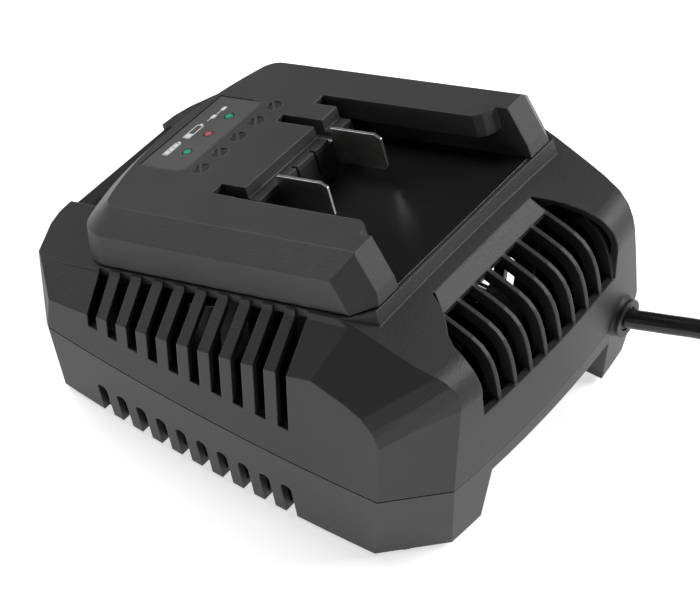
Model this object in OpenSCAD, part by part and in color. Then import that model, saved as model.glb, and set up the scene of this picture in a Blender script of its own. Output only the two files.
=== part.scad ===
// Slide-on battery charger for cordless tools: a two-shell housing that leans up
// towards the back, a tilted saddle that the battery slides on to, the terminals,
// the power electronics inside and the mains lead. Lengths in millimetres.

/* [Housing] */
// Width over the side walls
body_w = 130.2; // [129:0.2:131.4]
// Wall thickness of both shells
wall = 2.5; // [2.3:0.1:2.5]
// Height of the rubber feet below the base
foot_h = 1.5; // [1:0.1:2]

/* [Air openings] */
// Width of one side slot
slot_w = 3.9; // [3:0.1:4.4]
// Width of one inlet notch in the base edge
notch_w = 4; // [3:0.1:4.6]
// Thickness of one rear fin
fin_t = 1.5; // [1.2:0.1:2]

/* [Battery saddle] */
// Gap between the two lips that hold the battery
lip_gap = 56.06; // [54:0.1:58]
// Thickness of a lip
lip_t = 7.6; // [6.6:0.1:8.4]
// Thickness of the battery blades
blade_t = 1; // [0.8:0.1:1.2]

/* [Mains lead] */
// Diameter of the lead
cord_d = 6.2; // [5.8:0.1:6.6]
// Length of the plug pins
pin_l = 19; // [18:0.5:20]
// Diameter of the plug pins
pin_d = 4; // [3.8:0.1:4.2]

/* [Hidden] */

e = 0.01;
big = 400;
round_fn = 96;

// --- place of the drawing frame in the part's frame ---------------------------
shift_x = 11.19;

// --- housing ------------------------------------------------------------------
part_z = 30;            // parting line of the two shells
side_r = 806.7;         // bow of the side walls
side_x = -1.26;         // widest section
side_draft = 5.3;       // the base is this much narrower at the bottom, per side
rear_r = 443.2;         // bow of the rear wall
rear_x = 71.07;
rear_draft = 4.81;
rear_lean = 2.62;       // upper rear wall leans out by this angle
rear_round = 11.3;
rear_fall = 16.49;      // fall of the rear slope
rear_fall_p = [44.36, 80.4];
front_p = [-91.03, 0, part_z];
seam_t = 0.5;

near_base_n = [0.706, -0.672, -0.2245];
near_wall_n = [0.724, -0.689, -0.024];
near_p = [51.2, -65.1, part_z];
far_base_n = [0.68, 0.733, -0.018];
far_wall_n = [0.68, 0.733, 0.131];
far_p = [67.7, 55, part_z];

// --- tilted deck --------------------------------------------------------------
tilt = 17.68;
deck_z = 90.479;
deck_n = [-sin(tilt), 0, cos(tilt)];
deck_s = [cos(tilt), 0, sin(tilt)];
plateau_h = -17.3;      // top of the upper housing under the saddle
plateau_y = 52;
strip_s = 37;
saddle_h = -16.8;

// --- side slopes: one plane per rib, so that the slope winds gently ------------
slot_n = 10;
slot_pitch = 8.09;
slot_x = -52.05;        // middle of the first slot
slot_z = 42.7;
slope_b = 0.276;
function slope_top(x) = 70.53 + 0.3022 * x;
function break_y(x) = body_w / 2 - 0.5 - pow(x - side_x, 2) / (2 * side_r);
function break_z(x) = 60.4 + 0.25 * x;
function slope_m(x) = (slope_top(x) - break_z(x)) / (break_y(x) - plateau_y);
slope_cut = concat([-140], [for (k = [0:slot_n - 1]) slot_x + slot_pitch * k], [90]);
slope_mid = concat([-66], [for (k = [0:slot_n - 2]) slot_x + slot_pitch * (k + 0.5)], [28]);
slot_flare = 0.4;       // a slot is this much wider at its upper end
function slot_run(k) = 3.9 - 0.42 * k + 0.02 * k * k;
function slot_low(k) = slot_z + 0.25 - max(0, 1.2 - 0.2 * k);
// Border between two neighbouring planes: it runs up inside slot k
module slope_strip(k) {
    x0 = slope_cut[k];
    x1 = slope_cut[k + 1];
    r0 = k > 0 ? slot_run(k - 1) : 0;
    r1 = k < slot_n ? slot_run(k) : 0;
    linear_extrude(140) polygon([[x0, -100], [x1, -100], [x1, -break_y(min(x1, 40))],
        [x1 - r1, e - plateau_y], [x0 - r0, e - plateau_y], [x0, -break_y(max(x0, -70))]]);
}

// --- screw and board places -----------------------------------------------------
post_r = 4;             // posts of the upper shell
boss_r = 5;             // bosses of the lower shell
screw_seat = 6;
posts = [[-64, -42], [-64, 42], [38, -51], [38, 51]];
feet = [[-66, -29], [-66, 29], [50, -46.5], [50, 51.6]];
foot_r = 6;
foot_in = 0.8;          // depth of the recess for a foot
board_z = 8;
board_t = 1.6;
board_top = board_z + board_t;
board_holes = [[-50, -38], [-50, 38], [38, -36], [38, 36]];

// --- cord exit --------------------------------------------------------------------
hood_y = 43;
hood_x = 71.9;
hood_r = 6.3;
bore_r = 4.1;
grip_r = 4.2;           // half the square part of the sleeve that the clamp holds
grip_x = [57.5, 65.5];
clamp_x = 61.5;
clamp_y = [hood_y - 6.4, hood_y + 6.4];

// Lays a shape drawn above the base plane on its feet
module seat() translate([shift_x, 0, foot_h]) children();

// Shapes drawn as (along the deck, across, above the deck)
module deck() translate([0, 0, deck_z]) rotate([0, -tilt, 0]) children();

// Everything beyond the plane through p that faces n, the plane moved in by d
module beyond(p, n, d = 0) {
    u = n / norm(n);
    translate(p - d * u) rotate([0, acos(u[2]), atan2(u[1], u[0])])
        translate([-big / 2, -big / 2, 0]) cube(big);
}

module slab(x0, x1, y0, y1, z0, z1) translate([x0, y0, z0]) cube([x1 - x0, y1 - y0, z1 - z0]);

module both() { children(); mirror([0, 1, 0]) children(); }

function flip(v) = [v[0], -v[1], v[2]];

// --- lower shell ------------------------------------------------------------------

// Solid form of the base, its walls moved in by d
module base_form(d, z0, z1) {
    r0 = side_r - side_draft - d;
    difference() {
        intersection() {
            translate([side_x, body_w / 2 - side_r, 0])
                cylinder(r1 = r0, r2 = r0 + side_draft, h = part_z, $fn = 360);
            translate([side_x, side_r - body_w / 2, 0])
                cylinder(r1 = r0, r2 = r0 + side_draft, h = part_z, $fn = 360);
            translate([rear_x - rear_r, 0, 0])
                cylinder(r1 = rear_r - rear_draft - d, r2 = rear_r - d, h = part_z, $fn = 360);
            slab(-120, 80, -80, 80, z0, z1);
        }
        beyond(near_p, near_base_n, d);
        beyond(far_p, far_base_n, d);
        beyond(front_p, [-0.987, 0, -0.157], d);
        both() {
            beyond([-72.6, -61.9, part_z], [-0.839, -0.54, -0.071], d);
            beyond([-88.6, -35.2, part_z], [-0.965, -0.212, -0.155], d);
        }
    }
}

// Recess under the rear edge, open to the back and to the table
arch_x = 50;
arch_y0 = -27.5;
arch_y1 = 38.9;
arch_z = 22.5;
module arch_space(d) {
    x0 = arch_x - d;
    rotate([90, 0, 90]) translate([0, 0, x0]) linear_extrude(60)
        polygon([[arch_y0 - d, -5], [arch_y0 - d, arch_z + d], [arch_y1 + d, arch_z - 1.5 + d],
            [arch_y1 + d + 3.6, 3], [arch_y1 + d + 3.6, -5]]);
}

module notch(k) {
    x = -54.1 + 8.05 * k;
    h = 13.6 + 0.14 * k;
    slab(x - notch_w / 2, x + notch_w / 2, -75, -55.6, -1, h - notch_w / 2);
    translate([x, -75, h - notch_w / 2]) rotate([-90, 0, 0])
        cylinder(r = notch_w / 2, h = 19.4, $fn = round_fn);
}

// Collar round the cord, drawn whole: each shell keeps its half
module hood_form(r) translate([60, hood_y, part_z]) rotate([0, 90, 0])
    cylinder(r = r, h = hood_x - 60, $fn = round_fn);

module hood_root() translate([0, hood_y, part_z]) rotate([0, 90, 0])
    translate([0, 0, 66]) cylinder(r1 = 8.5, r2 = hood_r, h = 4.6, $fn = round_fn);

module lower_housing() color([0.2, 0.2, 0.21]) seat() {
    difference() {
        union() {
            difference() {
                base_form(0, 0, part_z);
                difference() {
                    base_form(wall, wall, part_z + 1);
                    arch_space(wall);
                    for (p = posts) translate([p[0], p[1], 0])
                        cylinder(r = boss_r, h = part_z, $fn = round_fn);
                    for (p = board_holes) translate([p[0], p[1], 0])
                        cylinder(r = 3, h = board_z, $fn = round_fn);
                }
                arch_space(0);
            }
            intersection() {
                union() { hood_form(hood_r); hood_root(); }
                slab(66, 90, 20, 60, 10, part_z);
            }
            // seat of the cord clamp
            difference() {
                slab(grip_x[0], grip_x[1], hood_y - 8.5, hood_y + 8.5, arch_z - 1, part_z + grip_r);
                slab(grip_x[0] - 1, grip_x[1] + 1, hood_y - grip_r, hood_y + grip_r, part_z - grip_r, 60);
            }
        }
        // shadow line along the seam
        difference() {
            slab(-120, 72, -80, 80, part_z - seam_t, part_z + 1);
            base_form(0.9, 0, part_z);
            hood_form(hood_r + 1);
        }
        for (k = [0:slot_n - 1]) both() notch(k);
        hood_form(bore_r);
        for (p = posts) translate([p[0], p[1], -1]) {
            cylinder(r = 3.4, h = 1 + screw_seat, $fn = round_fn);
            cylinder(r = 1.9, h = part_z + 2, $fn = round_fn);
        }
        for (p = feet) translate([p[0], p[1], -1]) cylinder(r = foot_r, h = 1 + foot_in, $fn = round_fn);
        for (p = board_holes) translate([p[0], p[1], 3]) cylinder(r = 1.2, h = 6, $fn = round_fn);
        for (y = clamp_y) translate([clamp_x, y, arch_z + 2]) cylinder(r = 1.2, h = 20, $fn = round_fn);
    }
}

// --- upper shell ------------------------------------------------------------------

// Section of the rear wall, round and slope; it is swept round a far upright axis
rear_n1 = [cos(rear_lean), -sin(rear_lean)];
rear_n2 = [sin(rear_fall), cos(rear_fall)];
function meet(n1, k1, n2, k2) = let (q = n1[0] * n2[1] - n1[1] * n2[0])
    [(k1 * n2[1] - k2 * n1[1]) / q, (n1[0] * k2 - n2[0] * k1) / q];
rear_k1 = [rear_x, part_z] * rear_n1;
rear_k2 = rear_fall_p * rear_n2;
rear_c = meet(rear_n1, rear_k1 - rear_round, rear_n2, rear_k2 - rear_round);

module rear_section(d) {
    r = rear_round - d;
    z0 = part_z - 6;
    x0 = (rear_k1 - d - z0 * rear_n1[1]) / rear_n1[0];
    x1 = -110;
    z1 = (rear_k2 - d - x1 * rear_n2[0]) / rear_n2[1];
    translate([rear_r - rear_x, 0]) {
        polygon([[x1, z0], [x0, z0], rear_c + r * rear_n1, rear_c, rear_c + r * rear_n2, [x1, z1]]);
        translate(rear_c) circle(r = r, $fn = round_fn);
    }
}

// Raised part under the saddle, in deck coordinates
module plateau_block(d) deck() translate([0, 0, -60]) linear_extrude(60) polygon([
    [-90, -plateau_y + d], [29 - 0.5 * d, -plateau_y + 0.4 + d], [strip_s - d, -45.7 + 0.4 * d],
    [strip_s - d, 45.7 - 0.4 * d], [29 - 0.5 * d, plateau_y - 0.4 - d], [-90, plateau_y - d]]);

// Nose of the upper shell, its walls square to the deck
module nose_form(d) {
    h = [[-105.1, 24], [-104.7, 29], [-102.8, 35.2], [-96.05, 47.6], [-79.95, 78]];
    deck() translate([d, 0, -110]) linear_extrude(130) polygon(concat(
        [for (k = [0:4]) [h[k][0], h[k][1] - (k > 2 ? 0.5 : 0.2) * d]], [[90, 78], [90, -78]],
        [for (k = [4:-1:0]) [h[k][0], (k > 2 ? 0.5 : 0.2) * d - h[k][1]]]));
}

corner_p = [33, -51.6, 82.4];

// Rear wall, round and slope with the facets of both rear corners
module rear_form(d) difference() {
    union() {
        translate([rear_x - rear_r, 0, 0]) rotate([0, 0, -12])
            rotate_extrude(angle = 24, $fn = 360) rear_section(d);
        plateau_block(d);
    }
    both() {
        beyond(corner_p, [0.232, -0.743, 0.629], d);
        beyond([50.95, -57.65, 68.08], [0.318, -0.77, 0.553], d);
        beyond([61.6, -49.6, 73.2], [0.40, -0.785, 0.47], d);
        beyond([57.19, -55.8, 65.96], [0.481, -0.79, 0.381], d);
        beyond([62, -50, 73.6], [0.554, -0.783, 0.285], d);
        beyond([60.83, -54.74, 62.09], [0.61, -0.762, 0.218], d);
        beyond([67.9, -48.5, 63], [0.66, -0.735, 0.15], d);
    }
    beyond(near_p, near_wall_n, d);
    beyond(far_p, far_wall_n, d);
}

// Both bowed side walls
module side_form(d, z0) intersection() {
    translate([side_x, body_w / 2 - side_r, z0]) cylinder(r = side_r - d, h = 80, $fn = 360);
    translate([side_x, side_r - body_w / 2, z0]) cylinder(r = side_r - d, h = 80, $fn = 360);
    slab(-120, 90, -80, 80, z0, 110);
}

module upper_form(d, z0) difference() {
    intersection() {
        side_form(d, z0);
        rear_form(d);
        nose_form(d);
    }
    deck() slab(-160, 120, -90, 90, plateau_h - d, 60);
    both() {
        for (k = [0:slot_n]) intersection() {
            beyond([slope_mid[k], -plateau_y, slope_top(slope_mid[k])],
                [-slope_b, -slope_m(slope_mid[k]), 1], d);
            slope_strip(k);
        }
        beyond([-68.5, -63.8, 43.5], [-0.645, -0.759, 0.092], d);
    }
}

// Finger scoop between the two shoulders at the nose
module scoop_space(d) deck() rotate([90, 0, 0]) translate([0, 0, -23 - d]) linear_extrude(46 + 2 * d)
    polygon([[-112, -19.3 - d], [-104.5, -19.3 - d], [-101, -20.4 - d], [-97, -23 - d], [-93, -26 - d],
        [-88, -28.2 - d], [-82, -28.2 - d], [-78 + d, -25], [-76 + d, -10], [-76 + d, 0], [-112, 0]]);

// Rear grille: outline seen square to the round, (down the round, across)
grille_far = [[-16.3, 27.3], [-23.5, 24.8], [-23.9, 25.5], [-20, 28.4], [-16.5, 30.8], [-11.4, 33.1],
    [-6, 34.2], [0, 34.9], [7, 35], [16, 35.6]];
grille_near = [[-16.3, 27.3], [-23.5, 24.8], [-23.9, 25.5], [-20, 27.6], [-16.6, 30.2], [-13.4, 34],
    [-10.4, 36], [-4.9, 37.2], [0.7, 37.4], [8.2, 36.6], [16, 34.8]];
brow_w = -23.7;
brow_q = 89;
sill_z = 52.5;
module facing() rotate([0, 45, 0]) children();
module grille_hole() intersection() {
    facing() translate([0, 0, 60]) linear_extrude(60)
        polygon(concat(grille_far,
            [for (k = [len(grille_near) - 1:-1:0]) [grille_near[k][0], -grille_near[k][1]]]));
    slab(40, 90, -60, 60, sill_z, 100);
}
module brow_cut() facing() translate([0, 0, brow_q]) linear_extrude(30)
    polygon([[brow_w, -25.2], [-16, -27.8], [-16, 27.8], [brow_w, 25.2]]);

function bow(y) = y * y / (2 * rear_r);
// Outer edge of a fin: set back on the slope and the round, flush at the sill
fin_edge = [[49.6, 75.4], [52, 74.6], [57.5, 73], [61.5, 71.6], [64.6, 69.9], [66.9, 67.6],
    [68.6, 64.8], [69.8, 61.5], [70.7, 57.6], [71.4, 53.6], [71.6, 51]];
fin_back = [[67.6, 51], [66.9, 56], [65.6, 61], [63.4, 65], [60, 67.6], [56, 69], [49.6, 71]];
module fin(y) translate([-bow(y), y - fin_t / 2, 0]) rotate([90, 0, 0]) mirror([0, 0, 1])
    linear_extrude(fin_t) polygon(concat(fin_edge, fin_back));

// Each slot runs straight up the wall and leans forwards over the slope
module side_slot(k) {
    x = slot_x + slot_pitch * k;
    w = slot_w / 2;
    y = break_y(x);
    s = x - slot_run(k);
    translate([0, 0, slot_low(k)]) linear_extrude(60) polygon([[x - w, -80], [x + w, -80], [x + w, -y],
        [s + w, 1 - plateau_y], [s - w - slot_flare, 1 - plateau_y], [x - w, -y]]);
}

// Window in the plateau that the floor of the saddle drops into
window_s = [-66, 33.6];
window_y = 36;

module upper_housing() color([0.2, 0.2, 0.21]) seat() difference() {
    union() {
        difference() {
            upper_form(0, part_z);
            difference() {
                upper_form(wall, part_z - 1);
                // posts for the housing screws
                for (p = posts) translate([p[0], p[1], 0]) cylinder(r = post_r, h = 100, $fn = round_fn);
                scoop_space(wall);
                // bar that ties the upper ends of the fins
                slab(46.4, 50.6, -30, 30, 69.5, 90);
            }
            grille_hole();
            brow_cut();
        }
        for (y = [3.8, 11.5, 19.2, 26.9]) both() fin(y);
        both() intersection() {
            fin(34.9);
            facing() translate([0, 0, 40]) linear_extrude(90)
                polygon([[-9, 0], [30, 0], [30, 60], [-9, 60]]);
        }
        intersection() {
            union() { hood_form(hood_r); hood_root(); }
            slab(66, 90, 20, 60, part_z, 50);
        }
    }
    for (k = [0:slot_n - 1]) both() side_slot(k);
    scoop_space(0);
    deck() slab(window_s[0], window_s[1], -window_y, window_y, -40, 0);
    hood_form(bore_r);
    for (p = posts) translate([p[0], p[1], part_z - 1]) cylinder(r = 1.3, h = 13, $fn = round_fn);
}

// --- battery saddle ---------------------------------------------------------------
saddle_y = 50.14;
chamfer_y = 42.16;
// The nose is a wide bow between two tight corners, on one line of centres each
bow_way = [-0.936, 0.352];
bow_reach = 102.5;
nose_x = 39.26;         // middle of the bow of the wall, in plan
rim_s = 34.58;          // middle of the bow of the upper edge, on the deck
bow_c = bow_reach * bow_way;
wall_r = saddle_y - bow_c[1];
rim_r = chamfer_y - bow_c[1];
chamfer_run = 1.4;      // the chamfer runs this far out for each unit of height
function chamfer_in(d) = 1.72 * d;
pocket_y = 34.19;
face_s = -20.2;         // face of the terminal block
roof_h = -4;            // the ledge over the terminals
block_h = -5.5;         // top of the terminal block
saddle_holes = [[-50, -42], [-50, 42], [20, -42], [20, 42]];
light_posts = [[-46, -14], [-46, 14]];
light_board_h = -12;

module bow_wedge(t) linear_extrude(t) polygon([[0, 0], 150 * bow_way, [150 * bow_way[0], -150 * bow_way[1]]]);

// Walls of the saddle, d inside: upright at the nose, square to the deck behind
module saddle_wall(d) difference() {
    intersection() {
        rotate([0, tilt, 0]) translate([0, 0, 40 - deck_z]) {
            intersection() {
                translate([nose_x, 0, 0]) cylinder(r = bow_reach + wall_r - d, h = 80, $fn = 360);
                translate([nose_x, 0, 0]) bow_wedge(80);
            }
            both() translate([nose_x + bow_c[0], bow_c[1], 0]) cylinder(r = wall_r - d, h = 80, $fn = round_fn);
            slab(nose_x + bow_c[0], 70, d - saddle_y, saddle_y - d, 0, 80);
        }
        slab(-100, 37 - d, -60, 60, -30, 10);
    }
    both() beyond([32.1, -46.7, -9.9], [0.71, -0.671, 0.213], d);
}

// Flat top of the saddle with the chamfer that runs round the nose and along both sides
module saddle_top(d) {
    t = 24;
    w = chamfer_run * t - chamfer_in(d);
    intersection() {
        translate([rim_s, 0, -t])
            cylinder(r1 = bow_reach + rim_r + w, r2 = bow_reach + rim_r - chamfer_in(d), h = t, $fn = 360);
        translate([rim_s, 0, -t]) bow_wedge(t);
    }
    both() translate([rim_s + bow_c[0], bow_c[1], -t])
        cylinder(r1 = rim_r + w, r2 = rim_r - chamfer_in(d), h = t, $fn = round_fn);
    rotate([90, 0, 90]) translate([0, 0, rim_s + bow_c[0]]) linear_extrude(120) polygon([
        [chamfer_y - chamfer_in(d), 0], [chamfer_y + w, -t], [-chamfer_y - w, -t], [chamfer_in(d) - chamfer_y, 0]]);
}

module saddle_form(d) intersection() {
    saddle_wall(d);
    saddle_top(d);
    slab(-100, 60, -60, 60, -19.3, -d);
    // slanted rear ends of the rails
    rotate([90, 0, 0]) translate([0, 0, -60]) linear_extrude(120)
        polygon([[-100, 5], [32.7 - d, 5], [32.7 - d, 0], [36.7 - d, -12.9], [37 - d, -17],
            [37 - d, -30], [-100, -30]]);
}

marks = [-17.3, -8.2, 0.9, 10, 19.1];
lights = [-10.3, 0.2, 10.6];
light_s = -58.5;
light_r = 1.6;
label_t = 0.4;

// Plan of the printed label, with its two rear corners rounded
module label_plan(g) {
    slab(-70.2 + g, -55, -20.5 + g, 20.5 - g, 0, 2);
    slab(-56, -52 - g, -17.5, 17.5, 0, 2);
    for (y = [-17.5, 17.5]) translate([-55, y, 0]) cylinder(r = 3 - g, h = 2, $fn = round_fn);
}

module battery_saddle() color([0.22, 0.22, 0.23]) seat() deck() difference() {
    union() {
        difference() {
            saddle_form(0);
            // hollow underside of the front block and of both rails
            difference() {
                saddle_form(wall);
                slab(-37, 60, -pocket_y - 2, pocket_y + 2, -30, 10);
                for (p = saddle_holes) translate([p[0], p[1], -30])
                    cylinder(r = 3.5, h = 40, $fn = round_fn);
                for (p = light_posts) translate([p[0], p[1], light_board_h])
                    cylinder(r = 2.5, h = 20, $fn = round_fn);
            }
            // outer step that leaves the shadow line over the housing
            difference() {
                slab(-100, 60, -60, 60, -30, saddle_h);
                saddle_wall(1.2);
            }
            slab(-100, 60, -60, 60, -30, plateau_h);
        }
        // floor plate that drops into the window
        slab(window_s[0] + 0.3, window_s[1] - 0.3, 0.3 - window_y, window_y - 0.3, -19.3, plateau_h);
        slab(-38, window_s[1] - 0.3, -pocket_y - 1, pocket_y + 1, -19.3, saddle_h);
    }
    // battery channel: wide under the lips, narrow between them
    slab(-33.8, 60, -pocket_y, pocket_y, saddle_h, -lip_t);
    slab(-33.8, face_s, -block_y - 0.3, block_y + 0.3, saddle_h, block_h);
    for (y = [-signal_y, signal_y]) slab(-22.4, face_s + 1, y - 0.45, y + 0.45, block_h - 1, 0);
    rotate([90, 0, 0]) translate([0, 0, -lip_gap / 2]) linear_extrude(lip_gap)
        polygon([[-24.5, 5], [-24.5, roof_h], [face_s, roof_h], [face_s, saddle_h], [60, saddle_h], [60, 5]]);
    slab(-33.8, -20, -27.8, -22.7, saddle_h, 5);
    slab(-33.8, -20, 23.1, 28.1, saddle_h, 5);
    slab(-40, -20, 11.4, 15.3, saddle_h + 5, 5);
    // rounded ends of the lips
    both() translate([0, 0, -lip_t - e]) linear_extrude(20) polygon([[24.2, -20], [24.2, -28.1],
        [26.6, -29.6], [28, -32], [28.4, -pocket_y], [60, -pocket_y], [60, -20]]);
    translate([0, 0, -label_t]) label_plan(0);
    for (y = lights) translate([light_s, y, -20]) cylinder(r = light_r, h = 30, $fn = round_fn);
    for (y = marks) translate([-46.7, y, 0]) difference() {
        translate([0, 0, -0.5]) cylinder(r = 2.75, h = 2, $fn = round_fn);
        rotate([0, 0, 45]) cube([1, 9, 3], center = true);
    }
    for (p = saddle_holes) translate([p[0], p[1], -20]) cylinder(r = 1.2, h = 10, $fn = round_fn);
    // lead passages and the seat of the terminal block
    for (y = [-blade_y, blade_y]) slab(-34, -26, y - 2.5, y + 2.5, -25, saddle_h + 1);
    for (y = [-signal_y, signal_y]) slab(-33, -28, y - 1.2, y + 1.2, -25, saddle_h + 1);
}

// --- terminals ----------------------------------------------------------------------
blade_y = 13.4;
signal_y = 4.4;
block_y = 22.5;
// A blade with its foot, that stands through the floor
module blade_form(y, t) translate([0, y - t / 2, 0]) rotate([90, 0, 0]) mirror([0, 0, 1])
    linear_extrude(t) {
    polygon([[-32, -13], [-32, block_h], [face_s + 0.1, block_h], [-19.5, -0.8], [-2.5, -0.8], [-0.3, -2.1],
        [-0.6, -11.7], [-1.9, -13]]);
    translate([-32, -24]) square([4, 12]);
}

module signal_form(y) translate([0, y - 0.3, 0]) rotate([90, 0, 0]) mirror([0, 0, 1]) linear_extrude(0.6) {
    polygon([[-31.5, -13.4], [-31.5, -6], [-22, -6], [-21.2, -7.5], [-21.2, -12.6], [-22, -13.4]]);
    translate([-31.5, -22]) square([2.4, 9]);
}

module terminal_block() color([0.12, 0.12, 0.12]) seat() deck() difference() {
    slab(-33.5, face_s, -block_y, block_y, saddle_h, block_h);
    for (y = [-blade_y, blade_y]) blade_form(y, blade_t);
    for (y = [-signal_y, signal_y]) {
        signal_form(y);
        slab(-22.4, face_s + 1, y - 0.45, y + 0.45, -12.8, 0);
    }
}

module positive_blade() color([0.8, 0.79, 0.76]) seat() deck() blade_form(blade_y, blade_t);
module negative_blade() color([0.8, 0.79, 0.76]) seat() deck() blade_form(-blade_y, blade_t);
module signal_contacts() color([0.8, 0.75, 0.6]) seat() deck() {
    signal_form(-signal_y);
    signal_form(signal_y);
}

// --- status label and lights -------------------------------------------------------
module status_label() color([0.27, 0.27, 0.28]) seat() deck() difference() {
    intersection() {
        translate([0, 0, -label_t]) label_plan(0.25);
        slab(-80, 0, -30, 30, -label_t, -label_t + 0.3);
    }
    for (y = lights) translate([light_s, y, -2]) cylinder(r = light_r + 0.1, h = 4, $fn = round_fn);
}

// Light guide: a stem up through the label and a flange under the roof
module light_guide(y) seat() deck() translate([light_s, y, 0]) {
    translate([0, 0, light_board_h]) cylinder(r = 1.3, h = -light_board_h - 0.05, $fn = round_fn);
    translate([0, 0, -wall - 1.2]) cylinder(r = 2.6, h = 1.2, $fn = round_fn);
}
module green_light_near() color([0.1, 0.6, 0.35]) light_guide(lights[0]);
module red_light() color([0.75, 0.1, 0.12]) light_guide(lights[1]);
module green_light_far() color([0.1, 0.6, 0.35]) light_guide(lights[2]);

module light_board() color([0.1, 0.35, 0.18]) seat() deck()
    slab(-64, -42.5, -18, 18, light_board_h - 1.2, light_board_h);

// --- electronics ---------------------------------------------------------------------
module circuit_board() color([0.1, 0.35, 0.18]) seat() difference() {
    slab(-58, 46, -44, 44, board_z, board_top);
    for (p = board_holes) translate([p[0], p[1], 0]) cylinder(r = 1.5, h = 20, $fn = round_fn);
}

core_x = [-12, 20];
core_y = 15;
core_h = 26;
yoke = 5;
limb = 8;
module transformer_core() color([0.2, 0.2, 0.22]) seat() difference() {
    slab(core_x[0], core_x[1], -core_y, core_y, board_top, board_top + core_h);
    for (x = [core_x[0] + yoke, (core_x[0] + core_x[1] + limb) / 2])
        slab(x, x + 7, -core_y - 1, core_y + 1, board_top + yoke, board_top + core_h - yoke);
}
module transformer_winding() color([0.75, 0.6, 0.2]) seat() difference() {
    x = (core_x[0] + core_x[1]) / 2;
    translate([0, 0, board_top + yoke]) linear_extrude(core_h - 2 * yoke)
        polygon([for (q = [[-11, -1], [-11, 1], [-7, 1.33], [7, 1.33], [11, 1], [11, -1], [7, -1.33], [-7, -1.33]])
            [x + q[0], q[1] * core_y]]);
    slab(x - limb / 2, x + limb / 2, -core_y, core_y, 0, 60);
}

sink_x = 26;
module heat_sink() color([0.75, 0.76, 0.78]) seat() {
    slab(sink_x, sink_x + 3, -34, 10, board_top, board_top + 28);
    for (k = [0:7]) slab(sink_x + 2.9, sink_x + 15, -34 + 6 * k, -32.4 + 6 * k, board_top, board_top + 28);
}
module power_transistor() color([0.1, 0.1, 0.11]) seat() {
    slab(sink_x - 4.4, sink_x, -33, -23, board_top + 6, board_top + 15);
    slab(sink_x - 1.3, sink_x, -33, -23, board_top + 14.9, board_top + 21);
    for (y = [-30.9, -28.4, -25.9]) slab(sink_x - 3, sink_x - 2.3, y, y + 0.8, board_top, board_top + 6.1);
}
module can(p, r, h) translate([p[0], p[1], board_top]) difference() {
    cylinder(r = r, h = h, $fn = round_fn);
    for (a = [0, 90]) translate([0, 0, h]) rotate([0, 0, a]) cube([1.4 * r, 0.6, 0.5], center = true);
}
module input_capacitor() color([0.12, 0.13, 0.2]) seat() can([-40, -22], 11, 26);
module output_capacitors() color([0.12, 0.13, 0.2]) seat() {
    can([-42, 12], 6.3, 20);
    can([-42, 27.5], 6.3, 20);
}
module filter_choke() color([0.7, 0.45, 0.2]) seat() translate([26, 26.5, board_top + 4]) {
    rotate_extrude($fn = round_fn) translate([6.6, 0]) circle(r = 4, $fn = 48);
    cylinder(r = 2, h = 8, center = true, $fn = round_fn);
    slab(-6.5, 6.5, -1, 1, -4, -2);
}
module fuse() color([0.85, 0.86, 0.88]) seat() {
    for (x = [1, 16.6]) slab(x + 1.6, x + 2.8, 38, 42, board_top, board_top + 4);
    translate([0, 40, board_top + 4.6]) rotate([0, 90, 0]) {
        cylinder(r = 2.2, h = 21, $fn = 48);
        for (x = [0, 15.6]) translate([0, 0, x]) cylinder(r = 2.6, h = 5.4, $fn = 48);
    }
}

wire_r = 1;
wire_bend = 8;
wire_y = [hood_y - 4.5, hood_y - 1.5];
wire_x = 42;
module mains_connector() color([0.15, 0.15, 0.16]) seat()
    slab(38, 45.5, hood_y - 6.4, hood_y + 0.9, board_top, board_top + 9);
module mains_leads() color([0.3, 0.2, 0.15]) seat() for (y = wire_y) translate([wire_x, y, 0]) {
    translate([0, 0, board_top + 9]) cylinder(r = wire_r, h = part_z - wire_bend - board_top - 9 + e, $fn = 48);
    translate([wire_bend, 0, part_z - wire_bend]) rotate([90, 0, 0]) rotate([0, 0, 90])
        rotate_extrude(angle = 90, $fn = 96) translate([wire_bend, 0]) circle(r = wire_r, $fn = 48);
    translate([wire_bend - e, 0, part_z]) rotate([0, 90, 0])
        cylinder(r = wire_r, h = sleeve_x - wire_x - wire_bend + e, $fn = 48);
}

// Wire from the foot of a blade down to the board, with its crimp
module battery_lead(y) {
    difference() {
        union() {
            deck() slab(-32.6, -27.4, y - 2, y + 2, -27, -20.5);
            translate([-21.6, y, board_top]) cylinder(r = 1.4, h = 50, $fn = 48);
        }
        deck() blade_form(y, blade_t);
    }
}
module positive_lead() color([0.7, 0.1, 0.1]) seat() battery_lead(blade_y);
module negative_lead() color([0.1, 0.1, 0.1]) seat() battery_lead(-blade_y);

// --- lead, clamp, coil and plug -----------------------------------------------------
sleeve_x = 54;
sleeve_end = 71.5;
module cord_sleeve() color([0.08, 0.08, 0.08]) seat() {
    translate([sleeve_x, hood_y, part_z]) rotate([0, 90, 0])
        cylinder(r = bore_r - 0.3, h = sleeve_end - sleeve_x, $fn = round_fn);
    slab(grip_x[0], grip_x[1], hood_y - grip_r, hood_y + grip_r, part_z - grip_r, part_z + grip_r);
}
module cord_clamp() color([0.15, 0.15, 0.15]) seat() difference() {
    slab(grip_x[0], grip_x[1], hood_y - 8.5, hood_y + 8.5, part_z + grip_r, part_z + grip_r + 3);
    for (y = clamp_y) translate([clamp_x, y, 20]) cylinder(r = 1.5, h = 30, $fn = round_fn);
}

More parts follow.
